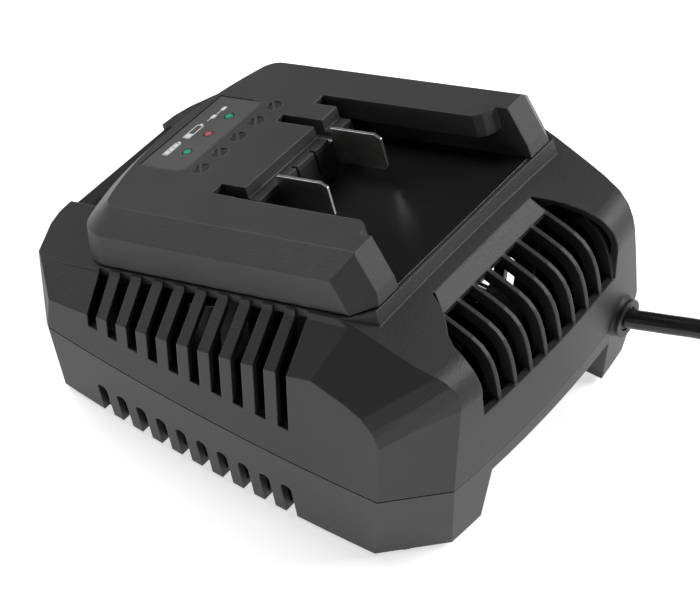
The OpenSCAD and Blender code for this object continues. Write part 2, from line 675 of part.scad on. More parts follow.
module screw(head_r, head_h, shank_r, shank_l) {
    difference() {
        translate([0, 0, -head_h]) cylinder(r = head_r, h = head_h, $fn = 48);
        for (a = [0, 90]) translate([0, 0, -head_h]) rotate([0, 0, a])
            cube([1.2 * head_r, 0.3 * head_r, head_h], center = true);
    }
    translate([0, 0, -e]) cylinder(r = shank_r, h = shank_l + e, $fn = 48);
}
module housing_screws() color([0.6, 0.6, 0.62]) seat() for (p = posts)
    translate([p[0], p[1], screw_seat]) screw(3, 2.4, 1.3, 34);
module board_screws() color([0.7, 0.7, 0.72]) seat() for (p = board_holes)
    translate([p[0], p[1], board_top]) rotate([180, 0, 0]) screw(2.6, 1.8, 0.9, 6);
module clamp_screws() color([0.7, 0.7, 0.72]) seat() for (y = clamp_y)
    translate([clamp_x, y, part_z + grip_r + 3]) rotate([180, 0, 0]) screw(2.2, 1.6, 0.9, 9);
module saddle_screws() color([0.6, 0.6, 0.62]) seat() deck() for (p = saddle_holes)
    translate([p[0], p[1], plateau_h - wall]) screw(2.6, 2, 0.9, 9);

module rubber_feet() color([0.06, 0.06, 0.06]) seat() for (p = feet) translate([p[0], p[1], -foot_h])
    cylinder(r = foot_r - 0.3, h = foot_h + foot_in, $fn = round_fn);

// Lead: a tube swept along these points, which run from the sleeve to the coil
cord_r = cord_d / 2;
coil_c = [181.5, 28];
coil_r = 34;            // middle of the turns
coil_w = 26.3;          // four turns side by side
coil_h = 12.9;          // two layers
cord_route = [[hood_x + shift_x - 0.4, 43, 31.6], [85.9, 43.9, 31.9], [89.5, 45.3, 32], [95.3, 47.6, 32.1],
    [103.7, 51.2, 32], [110, 53.7, 30.9], [117, 56.2, 28.3], [124.5, 58.6, 24.2], [132, 60.8, 19],
    [139.5, 62.8, 13.6], [147, 64.7, 9], [154.5, 66.5, 5.6], [162, 68.4, 3.8], [170.9, 70.5, 3.2]];
cord_way = [0.97, 0.242, 0];
tail_route = [[224.9, 28, 9.7], [225, 16, 8.3], [225, 4, 6.3], [225, -5, 6.2], [225, -12, 7]];

function unit(v) = v / norm(v);
function tangent(q, k) = unit(q[min(k + 1, len(q) - 1)] - q[max(k - 1, 0)]);
function across(t) = unit(cross([0, 0, 1], t));
// Ring of a swept tube at point k; the first and the last may face a given way
function tube_ring(q, k, t, r, n) = let (a = across(t), b = cross(t, a))
    [for (i = [0:n - 1]) q[k] + r * (cos(360 * i / n) * a + sin(360 * i / n) * b)];
module tube(q, r, t0, t1, n = 12) {
    m = len(q);
    pts = [for (k = [0:m - 1]) each tube_ring(q, k, k == 0 ? t0 : k == m - 1 ? t1 : tangent(q, k), r, n)];
    polyhedron(points = pts, faces = concat(
        [[for (i = [0:n - 1]) i]], [[for (i = [n - 1:-1:0]) (m - 1) * n + i]],
        [for (k = [0:m - 2], i = [0:n - 1])
            [k * n + i, (k + 1) * n + i, (k + 1) * n + (i + 1) % n, k * n + (i + 1) % n]]),
        convexity = 6);
}
module mains_cord() color([0.05, 0.05, 0.05]) {
    tube(cord_route, cord_r, [1, 0, 0], cord_way);
    tube(tail_route, cord_r, [0, -1, 0], [0, -1, 0]);
}
module cord_coil() color([0.05, 0.05, 0.05]) translate([coil_c[0], coil_c[1], 0])
    rotate_extrude($fn = round_fn) translate([coil_r - coil_w / 2, 0]) square([coil_w, coil_h]);
module cord_tie() color([0.08, 0.08, 0.08]) translate([coil_c[0], coil_c[1] + coil_r, 0]) difference() {
    w = coil_w / 2 + 1.2;
    slab(-2.2, 2.2, -w, w, 0, coil_h + 1.2);
    slab(-5, 5, -w + 1.2, w - 1.2, -1, coil_h);
}
plug_y = -12;
plug_c = [225, 7];
plug_l = 36;
module plug_body() color([0.06, 0.06, 0.06]) translate([plug_c[0], plug_y, 0]) mirror([0, 1, 0])
    difference() {
    linear_extrude(2 * plug_c[1]) polygon([[-5, 0], [5, 0], [7.5, 7], [13, 17], [13, plug_l - 3], [11.5, plug_l],
        [-11.5, plug_l], [-13, plug_l - 3], [-13, 17], [-7.5, 7]]);
    for (x = [-9.4, 9.4]) translate([x, plug_l + e, plug_c[1]]) rotate([90, 0, 0])
        cylinder(r = pin_d / 2 - 0.6, h = 6, $fn = 48);
}
module plug_pins() color([0.8, 0.8, 0.78]) for (x = [-9.4, 9.4])
    translate([plug_c[0] + x, plug_y - plug_l, plug_c[1]])
    rotate([90, 0, 0]) {
        cylinder(r = pin_d / 2, h = pin_l - 1, $fn = 48);
        translate([0, 0, pin_l - 1 - e]) cylinder(r1 = pin_d / 2, r2 = pin_d / 2 - 0.8, h = 1, $fn = 48);
        translate([0, 0, -5]) cylinder(r = pin_d / 2 - 0.9, h = 5 + e, $fn = 48);
    }

lower_housing();
upper_housing();
battery_saddle();
terminal_block();
positive_blade();
negative_blade();
signal_contacts();
status_label();
green_light_near();
red_light();
green_light_far();
light_board();
circuit_board();
transformer_core();
transformer_winding();
heat_sink();
power_transistor();
input_capacitor();
output_capacitors();
filter_choke();
fuse();
mains_connector();
mains_leads();
positive_lead();
negative_lead();
cord_clamp();
cord_sleeve();
mains_cord();
cord_coil();
cord_tie();
plug_body();
plug_pins();
rubber_feet();
housing_screws();
saddle_screws();
board_screws();
clamp_screws();
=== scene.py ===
import math

import bmesh
import bpy
from mathutils import Matrix, Vector


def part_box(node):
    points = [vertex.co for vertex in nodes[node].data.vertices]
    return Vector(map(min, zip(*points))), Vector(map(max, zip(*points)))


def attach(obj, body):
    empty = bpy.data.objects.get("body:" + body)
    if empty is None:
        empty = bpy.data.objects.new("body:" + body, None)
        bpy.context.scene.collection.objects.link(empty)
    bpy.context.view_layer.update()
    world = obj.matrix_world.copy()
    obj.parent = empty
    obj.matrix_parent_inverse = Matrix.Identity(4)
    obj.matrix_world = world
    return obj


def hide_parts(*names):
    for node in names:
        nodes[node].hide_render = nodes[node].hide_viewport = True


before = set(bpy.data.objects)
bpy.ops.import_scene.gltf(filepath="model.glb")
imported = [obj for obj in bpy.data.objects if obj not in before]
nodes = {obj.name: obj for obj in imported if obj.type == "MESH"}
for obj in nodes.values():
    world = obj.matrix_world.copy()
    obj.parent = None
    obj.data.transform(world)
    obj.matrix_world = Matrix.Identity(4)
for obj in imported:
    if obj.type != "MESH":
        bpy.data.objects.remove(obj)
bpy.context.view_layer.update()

# ---------------------------------------------------------------------------
# Camera: stands behind the charger's near rear corner and looks down on it,
# from the height of someone who lifts the battery off the bench.
# ---------------------------------------------------------------------------
camera_turn = math.radians(36.6873)
camera_rise = math.radians(43.1765)
camera_roll = math.radians(-1.2104)
camera_aim = Vector((0.01119, 0.0, 0.03825))
camera_reach = 0.833314
back = Vector((math.sin(camera_turn) * math.cos(camera_rise),
               -math.cos(camera_turn) * math.cos(camera_rise), math.sin(camera_rise)))
right = Vector((math.cos(camera_turn), math.sin(camera_turn), 0.0))
up = back.cross(right)
right_rolled = right * math.cos(camera_roll) + up * math.sin(camera_roll)
up_rolled = up * math.cos(camera_roll) - right * math.sin(camera_roll)
frame_wide, frame_high = 700.0, 615.0              # the frame, and the lens in the same unit
lens_length, lens_axis = 2706.244, (356.426, 289.799)
lens = bpy.data.cameras.new("bench_camera")
lens.sensor_width = 36.0
lens.lens = lens_length / frame_wide * lens.sensor_width
lens.shift_x = -(lens_axis[0] - frame_wide / 2) / frame_wide
lens.shift_y = (lens_axis[1] - frame_high / 2) / frame_wide
lens.clip_start, lens.clip_end = 0.05, 20.0
camera = bpy.data.objects.new("bench_camera", lens)
bpy.context.scene.collection.objects.link(camera)
camera.matrix_world = Matrix((right_rolled, up_rolled, back)).transposed().to_4x4()
camera.location = camera_aim + back * camera_reach
bpy.context.scene.camera = camera

# ---------------------------------------------------------------------------
# Mains lead: two cores in a round black jacket, 6.2 mm across, extruded with a
# slight ripple. It leaves the collar at the rear corner, drops to the bench and
# is wound into a neat coil of two layers. The plug is moulded on its end.
# ---------------------------------------------------------------------------
lead_across = 0.0062
lead_drop = [(0.08269, 0.043, 0.0316), (0.0859, 0.0439, 0.0319), (0.0895, 0.0453, 0.032),
             (0.0953, 0.0476, 0.0321), (0.1037, 0.0512, 0.032), (0.110, 0.0537, 0.0309),
             (0.117, 0.0562, 0.0283), (0.1245, 0.0586, 0.0242), (0.132, 0.0608, 0.019),
             (0.1395, 0.0628, 0.0136), (0.147, 0.0647, 0.009), (0.1545, 0.0665, 0.0056), (0.162, 0.0684, 0.0038)]
coil_middle = Vector((0.1815, 0.028))
coil_radius = 0.034                                # to the middle of its turns
coil_bottom, coil_top = 0.0032, 0.0097             # the two layers
outer_turn, inner_turn = 0.0438, 0.0240
turn_step, loose_step = 0.0066, 0.0068             # from turn to turn: the top layer lies slightly looser
turn_points, point_angle = 72, 5                   # points on a turn, and the degrees between them
bottom_turns, coil_start = 3, 104                  # the lead meets the bench at this angle, in degrees
climb_points, climb_angle, climb_in = 30, 150, 0.0002
top_inner, top_points = 0.0238, 206


def around(angle, radius, height):
    """A point on a turn of the coil."""
    return (coil_middle.x + radius * math.cos(math.radians(angle)),
            coil_middle.y + radius * math.sin(math.radians(angle)), height)


lead_line = list(lead_drop)
for k in range(bottom_turns * turn_points + 1):    # bottom layer, winding inwards
    lead_line.append(around(coil_start - point_angle * k, outer_turn - turn_step * k / turn_points, coil_bottom))
climb_start = coil_start - 360 * bottom_turns
for k in range(1, climb_points + 1):               # up inside the coil
    t = k / climb_points
    ease = t * t * (3 - 2 * t)
    lead_line.append(around(climb_start - climb_angle * t, inner_turn - climb_in * t,
                            coil_bottom + (coil_top - coil_bottom) * ease))
for k in range(1, top_points + 1):                 # top layer, winding outwards
    lead_line.append(around(climb_start - climb_angle - point_angle * k, top_inner + loose_step * k / turn_points,
                            coil_top))
tail = len(lead_line)
lead_line += [(0.2249, 0.0275, 0.0097), (0.225, 0.022, 0.0092), (0.225, 0.016, 0.0083), (0.225, 0.010, 0.0072),
              (0.225, 0.004, 0.0064), (0.225, -0.0015, 0.0061), (0.225, -0.0065, 0.0063), (0.225, -0.0125, 0.007)]

# even out the given stretches with a smooth line through every point
smooth = []
for i in range(len(lead_line) - 1):
    p = [Vector(lead_line[max(0, min(len(lead_line) - 1, i + d))]) for d in (-1, 0, 1, 2)]
    parts = 1 if len(lead_drop) <= i < tail - 1 else 3
    for j in range(parts):
        t = j / parts
        smooth.append(0.5 * ((2 * p[1]) + (p[2] - p[0]) * t + (2 * p[0] - 5 * p[1] + 4 * p[2] - p[3]) * t * t
                             + (3 * p[1] - p[0] - 3 * p[2] + p[3]) * t ** 3))
smooth.append(Vector(lead_line[-1]))


def feed(m, place, value):
    """Sets a value on a node's input, or joins another node's output to it."""
    if isinstance(value, bpy.types.NodeSocket):
        m.node_tree.links.new(value, place)
    else:
        place.default_value = value


def reckoned(m, operation, *values):
    """A number worked out from others, for each point of the surface."""
    step = m.node_tree.nodes.new("ShaderNodeMath")
    step.operation = operation
    for place, value in zip(step.inputs, values):
        feed(m, place, value)
    return step.outputs["Value"]


def blended(m, amount, under, over, way="MIX"):
    """One colour laid over another by an amount that changes over the surface."""
    mix = m.node_tree.nodes.new("ShaderNodeMixRGB")
    mix.blend_type = way
    for place, value in zip(mix.inputs, (amount, under, over)):
        feed(m, place, value)
    return mix.outputs["Color"]


def noise(m, place, scale, detail):
    """Cloudy unevenness of one size."""
    cloud = m.node_tree.nodes.new("ShaderNodeTexNoise")
    cloud.inputs["Scale"].default_value = scale
    cloud.inputs["Detail"].default_value = detail
    m.node_tree.links.new(place, cloud.inputs["Vector"])
    return cloud.outputs["Fac"]


def ranged(m, value, low, high, start=0.0, end=1.0):
    """Carries a number from the range start to end over to the range low to high."""
    span = m.node_tree.nodes.new("ShaderNodeMapRange")
    for place, number in (("From Min", start), ("From Max", end), ("To Min", low), ("To Max", high)):
        span.inputs[place].default_value = number
    m.node_tree.links.new(value, span.inputs["Value"])
    return span.outputs["Result"]


def moulded(name, colour, rough, grain, depth, edge=0.0, wear_and_highlight=0.0):
    """Moulded plastic: a fine grain, uneven tone and gloss, softened edges that are slightly worn and carry a
    painted highlight.
    """
    m = bpy.data.materials.new(name)
    m.use_nodes = True
    n, link = m.node_tree.nodes, m.node_tree.links.new
    shade = n["Principled BSDF"]
    shade.inputs["IOR"].default_value = 1.5
    place = n.new("ShaderNodeTexCoord").outputs["Object"]
    cloud = noise(m, place, 45.0, 5.0)
    tone = n.new("ShaderNodeValToRGB")
    for stop, position, level in zip(tone.color_ramp.elements, (0.3, 0.7), (0.88, 1.12)):
        stop.position = position
        stop.color = [min(1, c * level) for c in colour] + [1]
    link(cloud, tone.inputs["Fac"])
    speck = noise(m, place, grain, 3.0)
    tint, gloss = tone.outputs["Color"], ranged(m, speck, rough - 0.07, rough + 0.07)
    dimple = n.new("ShaderNodeBump")
    dimple.inputs["Strength"].default_value = 0.4
    dimple.inputs["Distance"].default_value = depth
    link(speck, dimple.inputs["Height"])
    if edge:
        soft = n.new("ShaderNodeBevel")
        soft.samples = 6
        soft.inputs["Radius"].default_value = edge
        link(soft.outputs["Normal"], dimple.inputs["Normal"])
    if wear_and_highlight:                                       # partly rubbed wear, partly painted highlight: brighter where a rounded edge turns from the face
        turn = n.new("ShaderNodeVectorMath")
        turn.operation = "DOT_PRODUCT"
        link(soft.outputs["Normal"], turn.inputs[0])
        link(n.new("ShaderNodeNewGeometry").outputs["Normal"], turn.inputs[1])
        rubbed_and_highlit = reckoned(m, "MULTIPLY", ranged(m, turn.outputs["Value"], 0.0, 1.0, 0.995, 0.86), cloud)
        tint = blended(m, rubbed_and_highlit, tint, [min(1, c * (1 + wear_and_highlight)) for c in colour] + [1])
        gloss = reckoned(m, "MULTIPLY_ADD", rubbed_and_highlit, -0.18, gloss)
    link(tint, shade.inputs["Base Color"])
    link(gloss, shade.inputs["Roughness"])
    link(dimple.outputs["Normal"], shade.inputs["Normal"])
    return m


curve = bpy.data.curves.new("mains_lead", "CURVE")
curve.dimensions = "3D"
curve.bevel_depth = lead_across / 2
curve.bevel_resolution = 8
curve.use_fill_caps = True
spline = curve.splines.new("POLY")
spline.points.add(len(smooth) - 1)
for q, co in zip(spline.points, smooth):
    q.co = (co.x, co.y, co.z, 1.0)
spline.use_smooth = True
curve.materials.append(moulded("lead_jacket", (0.015, 0.015, 0.016), 0.29, 420.0, 0.00005))
mains_lead = bpy.data.objects.new("mains_lead", curve)
bpy.context.scene.collection.objects.link(mains_lead)
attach(mains_lead, "root")
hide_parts("mains_cord", "cord_coil")

# ---------------------------------------------------------------------------
# Plug: a flat two-pin mains plug moulded on to the lead in black PVC, with a
# ribbed strain relief behind it and finger grooves across both narrow sides.
# The pins are nickel plated brass, moulded in, and keep their CAD shape.
# ---------------------------------------------------------------------------
plug_start = Vector((0.225, -0.012, 0.007))


def piece(name, points, faces, material, crease=35.0):
    """A closed skin as one object of the charger, smooth except at edges sharper than the crease."""
    skin = bpy.data.meshes.new(name)
    skin.from_pydata([tuple(p) for p in points], [], faces)
    form = bmesh.new()
    form.from_mesh(skin)
    bmesh.ops.recalc_face_normals(form, faces=form.faces)
    form.to_mesh(skin)
    form.free()
    skin.shade_smooth()
    skin.set_sharp_from_angle(angle=math.radians(crease))
    skin.materials.append(material)
    made = bpy.data.objects.new(name, skin)
    bpy.context.scene.collection.objects.link(made)
    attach(made, "root")
    return made


plug_sides = 48


def squarish(half_wide, half_high, power):
    """Points round a section that is round at power 2 and nearly square at power 5."""
    ring = []
    for i in range(plug_sides):
        c, s = math.cos(2 * math.pi * i / plug_sides), math.sin(2 * math.pi * i / plug_sides)
        ring.append((half_wide * math.copysign(abs(c) ** (2 / power), c),
                     half_high * math.copysign(abs(s) ** (2 / power), s)))
    return ring


# each ring in mm: (way back from the lead's end, half width, half height, power)
plug_rings = [(0.0, 3.5, 3.5, 2.0), (0.3, 4.0, 4.0, 2.0)]
for k in range(5):                                 # ribs of the strain relief, getting wider
    r = 4.1 + 0.18 * k
    plug_rings += [(0.5 + 1.7 * k, r, r, 2.0), (1.3 + 1.7 * k, r, r, 2.0),
                   (1.5 + 1.7 * k, r - 0.55, r - 0.55, 2.0), (1.98 + 1.7 * k, r - 0.5, r - 0.5, 2.0)]
plug_rings += [(9.4, 5.1, 5.0, 2.0), (11.0, 6.0, 5.3, 2.2), (13.0, 7.6, 5.8, 2.5), (15.0, 9.6, 6.3, 2.9),
               (17.0, 11.4, 6.7, 3.3), (18.6, 12.4, 6.9, 3.6)]
for k in range(5):                                 # finger grooves
    plug_rings += [(19.4 + 2.2 * k, 12.9, 7.0, 3.9), (20.1 + 2.2 * k, 12.9, 7.0, 3.9),
                   (20.5 + 2.2 * k, 12.3, 7.0, 3.9), (21.1 + 2.2 * k, 12.3, 7.0, 3.9)]
plug_rings += [(30.6, 12.9, 7.0, 3.9), (33.6, 12.9, 7.0, 4.0), (35.0, 12.8, 6.9, 4.0), (35.7, 12.3, 6.5, 4.0),
               (36.0, 11.6, 5.9, 4.0)]
plug_points, plug_faces = [], []
for back_by, wide, high, power in plug_rings:
    for a, b in squarish(wide, high, power):
        plug_points.append((plug_start.x + a / 1000, plug_start.y - back_by / 1000, plug_start.z + b / 1000))
for first in range(0, plug_sides * (len(plug_rings) - 1), plug_sides):
    for i in range(plug_sides):
        j = (i + 1) % plug_sides
        plug_faces.append((first + i, first + j, first + plug_sides + j, first + plug_sides + i))
plug_faces += [tuple(range(plug_sides)), tuple(range(len(plug_points) - plug_sides, len(plug_points)))]
plug_shell = piece("plug_shell", plug_points, plug_faces,
                   moulded("plug_pvc", (0.016, 0.016, 0.017), 0.46, 1500.0, 0.0001), 40.0)
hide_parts("plug_body")


def dress(node, material):
    """Gives every slot of a CAD node one finish."""
    for place in nodes[node].material_slots:
        place.material = material


def plated(name, colour, rough, line, across=(1.0, 1.0, 1.0), edge=0.0002):
    """Plated or bare metal: drawn lines in one direction, faint tarnish, edges that catch the light."""
    m = bpy.data.materials.new(name)
    m.use_nodes = True
    n, link = m.node_tree.nodes, m.node_tree.links.new
    shade = n["Principled BSDF"]
    shade.inputs["Metallic"].default_value = 1.0
    place = n.new("ShaderNodeTexCoord").outputs["Object"]
    drawn = n.new("ShaderNodeMapping")
    drawn.inputs["Scale"].default_value = across
    link(place, drawn.inputs["Vector"])
    lines = noise(m, drawn.outputs["Vector"], line, 4.0)
    tone = n.new("ShaderNodeValToRGB")
    for stop, position, level in zip(tone.color_ramp.elements, (0.34, 0.62), (0.8, 1.0)):
        stop.position = position
        stop.color = [c * level for c in colour] + [1]
    link(noise(m, place, 160.0, 5.0), tone.inputs["Fac"])
    link(tone.outputs["Color"], shade.inputs["Base Color"])
    link(ranged(m, lines, rough - 0.08, rough + 0.1), shade.inputs["Roughness"])
    soft = n.new("ShaderNodeBevel")
    soft.samples = 6
    soft.inputs["Radius"].default_value = edge
    scratch = n.new("ShaderNodeBump")
    scratch.inputs["Strength"].default_value = 0.25
    scratch.inputs["Distance"].default_value = 0.00002
    link(lines, scratch.inputs["Height"])
    link(soft.outputs["Normal"], scratch.inputs["Normal"])
    link(scratch.outputs["Normal"], shade.inputs["Normal"])
    return m


dress("plug_pins", plated("pin_nickel", (0.74, 0.73, 0.7), 0.24, 900.0, (1.0, 0.05, 1.0)))

# ---------------------------------------------------------------------------
# Lead tie: a narrow black nylon strap, drawn round all the turns of the coil and
# tucked back through itself, so that the lead stays wound while it is packed.
# ---------------------------------------------------------------------------
tie_across, tie_thick = 0.0042, 0.0008
tie_pressed, bench_gap = 0.00002, 0.0001           # under the coil, and what keeps it clear of the bench
tie_section = ((-1, 0.0), (-0.86, 1.0), (0.86, 1.0), (1, 0.0))   # half widths and thicknesses: slightly round edges
tuck_start, tuck_length, tuck_steps = 0.0072, 0.0135, 12
tuck_height, tuck_thick = 0.01335, 0.0007
tie_reach = lead_across / 2 + 0.0001               # from the middle of a turn to the strap
turns = [(q.y, q.z) for q, after in zip(smooth, smooth[1:])
         if (q.x - coil_middle.x) * (after.x - coil_middle.x) <= 0 and q.y > coil_middle.y]
strap = []                                         # drawn tight: each point lies on the turn that stands out most
for k in range(turn_points):
    a = math.radians(point_angle * k)
    out = (math.cos(a), math.sin(a))
    turn = max(turns, key=lambda t: t[0] * out[0] + t[1] * out[1])
    strap.append((turn[0] + tie_reach * out[0], turn[1] + tie_reach * out[1], out[0], out[1]))
tie_points, tie_faces = [], []
for y, z, ny, nz in strap:
    thick = tie_thick if z > 0.001 else tie_pressed
    for side, out in tie_section:
        tie_points.append((coil_middle.x + side * tie_across / 2, y + ny * thick * out,
                           max(bench_gap, z + nz * thick * out)))
for k in range(len(strap)):
    for i in range(4):
        a, b = 4 * k + i, 4 * k + (i + 1) % 4
        c, d = (a + 4) % (4 * len(strap)), (b + 4) % (4 * len(strap))
        tie_faces.append((a, b, d, c))
tuck = len(tie_points)                             # the tucked end: a second layer with a round tip over the top
for k in range(tuck_steps + 1):
    along = tuck_start - tuck_length * k / tuck_steps
    narrow = math.sqrt(max(0.02, 1 - max(0.0, (k - 9) / 3.3) ** 2))
    thick = tuck_thick * (1 if k < tuck_steps else 0.4)
    for side, out in tie_section:
        tie_points.append((coil_middle.x + side * narrow * tie_across / 2, coil_middle.y + coil_radius + along,
                           tuck_height + thick * out))
for k in range(tuck_steps):
    for i in range(4):
        a, b = tuck + 4 * k + i, tuck + 4 * k + (i + 1) % 4
        tie_faces.append((a, b, b + 4, a + 4))
tie_faces += [tuple(tuck + i for i in range(4)), tuple(tuck + 4 * tuck_steps + i for i in range(4))]


def relief(m, height, distance, sunk=False):
    """Raises a pattern on the surface, on top of its grain."""
    n, link = m.node_tree.nodes, m.node_tree.links.new
    rise = n.new("ShaderNodeBump")
    rise.invert = sunk
    rise.inputs["Distance"].default_value = distance
    link(height, rise.inputs["Height"])
    link(n["Bump"].outputs["Normal"], rise.inputs["Normal"])
    link(rise.outputs["Normal"], n["Principled BSDF"].inputs["Normal"])


def rows(m, direction, scale, distortion):
    """Even rows that rise and fall in one direction."""
    row = m.node_tree.nodes.new("ShaderNodeTexWave")
    row.bands_direction = direction
    row.inputs["Scale"].default_value = scale
    row.inputs["Distortion"].default_value = distortion
    m.node_tree.links.new(m.node_tree.nodes["Texture Coordinate"].outputs["Object"], row.inputs["Vector"])
    return row.outputs["Fac"]


def woven(name, colour, rough, thread):
    """Woven strap: two crossing rows of threads that rise and fall."""
    m = moulded(name, colour, rough, 2400.0, 0.00003)
    relief(m, reckoned(m, "MULTIPLY", rows(m, "X", thread, 0.6), rows(m, "Y", thread, 0.6)), 0.00012)
    return m


lead_tie = piece("lead_tie", tie_points, tie_faces, woven("tie_strap", (0.02, 0.02, 0.021), 0.6, 500.0),
                 50.0)
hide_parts("cord_tie")

# ---------------------------------------------------------------------------
# Lower shell: the tray of the housing, moulded in charcoal ABS with a fine
# spark-eroded grain. Its base edge has the inlet notches, its floor the bosses.
# Four round rubber feet are pressed into recesses under it.
# ---------------------------------------------------------------------------
charcoal = moulded("charcoal_abs", (0.018, 0.018, 0.0185), 0.5, 1900.0, 0.00023, 0.0006, 1.6)
dress("lower_housing", charcoal)
dress("rubber_feet", moulded("foot_rubber", (0.014, 0.014, 0.014), 0.78, 1300.0, 0.00016, 0.0004, 0.8))

# ---------------------------------------------------------------------------
# Power board: glass-epoxy board under green solder mask. Broad copper tracks
# show through the mask as slightly raised, lighter lanes; four screws hold it.
# ---------------------------------------------------------------------------


def masked_board(name, colour, lane):
    """Solder mask over copper tracks: raised lighter lanes between narrow gaps."""
    m = moulded(name, colour, 0.34, 900.0, 0.00002, 0.0002)
    n, link = m.node_tree.nodes, m.node_tree.links.new
    tracks = n.new("ShaderNodeTexBrick")
    tracks.offset = 0.37
    for place, number in (("Scale", lane), ("Mortar Size", 0.035), ("Mortar Smooth", 0.2), ("Brick Width", 1.7),
                          ("Row Height", 0.42)):
        tracks.inputs[place].default_value = number
    for place, level in (("Color1", 1.25), ("Color2", 1.05), ("Mortar", 0.55)):
        tracks.inputs[place].default_value = [c * level for c in colour] + [1]
    link(n["Texture Coordinate"].outputs["Object"], tracks.inputs["Vector"])
    link(tracks.outputs["Color"], n["Principled BSDF"].inputs["Base Color"])
    relief(m, tracks.outputs["Fac"], 0.00005, sunk=True)
    return m


dress("circuit_board", masked_board("board_mask", (0.006, 0.036, 0.016), 70.0))

# ---------------------------------------------------------------------------
# Transformer: two halves of pressed and fired ferrite round a bobbin whose
# winding is covered with layers of black polyester tape.
# ---------------------------------------------------------------------------
dress("transformer_core", moulded("fired_ferrite", (0.03, 0.03, 0.032), 0.42, 3200.0, 0.00008, 0.0004, 1.5))


def banded(name, colour, rough, bands, direction, depth):
    """A surface laid up in even turns of tape side by side, darker between them."""
    m = moulded(name, colour, rough, 700.0, 0.00002)
    n, link = m.node_tree.nodes, m.node_tree.links.new
    turns = rows(m, direction, bands, 0.3)
    relief(m, turns, depth)
    dark = blended(m, reckoned(m, "SUBTRACT", 1.0, turns), n["Color Ramp"].outputs["Color"], (0.55, 0.55, 0.55, 1),
                   "MULTIPLY")
    link(dark, n["Principled BSDF"].inputs["Base Color"])
    return m


dress("transformer_winding", banded("winding_tape", (0.03, 0.027, 0.02), 0.3, 130.0, "Y", 0.00005))

# ---------------------------------------------------------------------------
# Switching parts: an extruded and black anodised aluminium heat sink, with the
# power transistor in its black epoxy package screwed flat against it.
# ---------------------------------------------------------------------------
dress("heat_sink", plated("black_anodising", (0.045, 0.045, 0.048), 0.45, 700.0, (1.0, 1.0, 0.03)))
dress("power_transistor", moulded("package_epoxy", (0.016, 0.016, 0.017), 0.58, 2600.0, 0.00006, 0.0002))

# ---------------------------------------------------------------------------
# Electrolytic capacitors: rolled aluminium cans in black shrink sleeves that
# leave the pressed top bare and carry one pale stripe on the minus side.
# ---------------------------------------------------------------------------


def split_up(m):
    """The three numbers of a point's place."""
    n = m.node_tree.nodes
    split = n.new("ShaderNodeSeparateXYZ")
    m.node_tree.links.new(n["Texture Coordinate"].outputs["Object"], split.inputs["Vector"])
    return split.outputs


def sleeved_can(name, top, stripe_from):
    """Shrink sleeve up to the rolled edge, bare aluminium above it, a pale stripe down one side."""
    m = moulded(name, (0.012, 0.012, 0.015), 0.26, 500.0, 0.00003, 0.0004)
    n, link = m.node_tree.nodes, m.node_tree.links.new
    x, y, z = split_up(m)
    striped = blended(m, reckoned(m, "GREATER_THAN", x, stripe_from), n["Color Ramp"].outputs["Color"],
                      (0.35, 0.38, 0.42, 1))
    bare = reckoned(m, "GREATER_THAN", z, top - 0.0002)
    link(blended(m, bare, striped, (0.62, 0.63, 0.64, 1)), n["Principled BSDF"].inputs["Base Color"])
    link(bare, n["Principled BSDF"].inputs["Metallic"])
    return m


dress("input_capacitor", sleeved_can("sleeve_large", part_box("input_capacitor")[1][2], -0.0202))
dress("output_capacitors", sleeved_can("sleeve_small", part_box("output_capacitors")[1][2], -0.0262))

# ---------------------------------------------------------------------------
# Mains filter: a ring of ferrite wound with enamelled copper wire, and a glass
# fuse with plated end caps in the live line.
# ---------------------------------------------------------------------------


def wound_ring(name, middle, turns):
    """Enamelled wire wound through a ring: the turns stand out round the middle like spokes."""
    m = moulded(name, (0.13, 0.042, 0.016), 0.25, 900.0, 0.00002)
    x, y, z = split_up(m)
    angle = reckoned(m, "ARCTAN2", reckoned(m, "SUBTRACT", y, middle[1]), reckoned(m, "SUBTRACT", x, middle[0]))
    relief(m, reckoned(m, "SINE", reckoned(m, "MULTIPLY", angle, turns)), 0.0002)
    return m


choke_low, choke_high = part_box("filter_choke")
dress("filter_choke", wound_ring("choke_wire", [(a + b) / 2 for a, b in zip(choke_low, choke_high)], 46.0))


def capped_glass(name, low, high):
    """Glass tube between two plated caps, each cap about a fifth of the length."""
    m = plated(name, (0.7, 0.7, 0.71), 0.25, 700.0)
    x, y, z = split_up(m)
    away = reckoned(m, "ABSOLUTE", reckoned(m, "SUBTRACT", x, (low + high) / 2))
    cap = reckoned(m, "GREATER_THAN", away, (high - low) * 0.29)
    m.node_tree.links.new(cap, m.node_tree.nodes["Principled BSDF"].inputs["Metallic"])
    return m


fuse_low, fuse_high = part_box("fuse")
dress("fuse", capped_glass("fuse_glass", fuse_low[0], fuse_high[0]))

# ---------------------------------------------------------------------------
# Inner wiring: a black nylon mains connector, brown mains leads and the red and
# black output leads, all PVC covered, and the clamp that holds the mains lead in
# its rubber sleeve.
# ---------------------------------------------------------------------------
dress("mains_connector", moulded("connector_nylon", (0.02, 0.02, 0.021), 0.42, 1200.0, 0.00005, 0.0003))
for node, cover, colour in (("mains_leads", "brown_pvc", (0.07, 0.022, 0.01)),
                            ("positive_lead", "red_pvc", (0.32, 0.012, 0.01)),
                            ("negative_lead", "black_pvc", (0.013, 0.013, 0.014))):
    dress(node, moulded(cover, colour, 0.3, 600.0, 0.00003))
dress("cord_clamp", moulded("clamp_abs", (0.02, 0.02, 0.021), 0.5, 2000.0, 0.0001, 0.0004, 1.0))
dress("cord_sleeve", moulded("sleeve_rubber", (0.012, 0.012, 0.012), 0.6, 1400.0, 0.00012, 0.0003))

# ---------------------------------------------------------------------------
# Upper shell: the same charcoal ABS. The slots at both sides and the curved fins
# of the rear grille are moulded through, the collar round the lead is half of it.
# ---------------------------------------------------------------------------
dress("upper_housing", charcoal)
